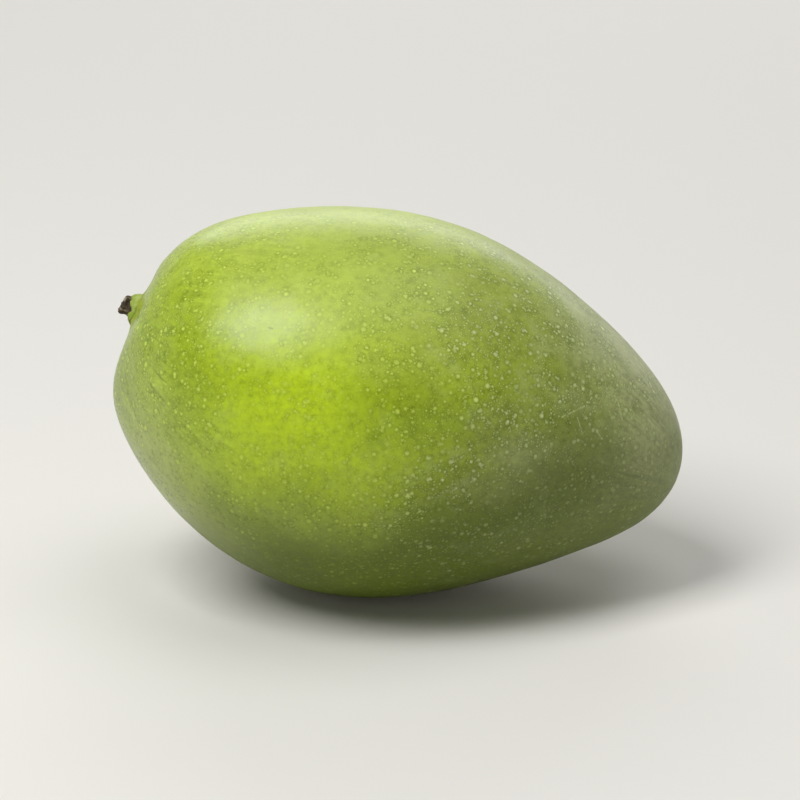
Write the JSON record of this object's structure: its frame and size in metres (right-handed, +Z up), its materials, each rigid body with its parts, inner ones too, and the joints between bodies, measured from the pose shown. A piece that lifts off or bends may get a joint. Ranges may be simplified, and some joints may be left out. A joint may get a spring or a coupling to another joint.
{
  "type": "mango",
  "caption": "Whole green mango lying on its belly on a small flat spot, with a short dry stem stub in a shallow basin at its blunt end.",
  "frame": {"origin": "bottom centre of the box round the fruit and its stem stub, level with the flat spot that it rests on", "axes": "+Z up, +X along the fruit from its stem end to its tip, which lies a little lower, and +Y to the far side"},
  "size_m": [0.124, 0.0874, 0.084],
  "materials": {
    "green_skin": "satin, waxy fruit skin, yellow-green with pale dots",
    "dry_stem": "matte, dry dark brown wood with a broken end"
  },
  "bodies": {
    "root": {"mango_fruit": "green_skin", "stem_stub": "dry_stem"}
  },
  "joints": []
}
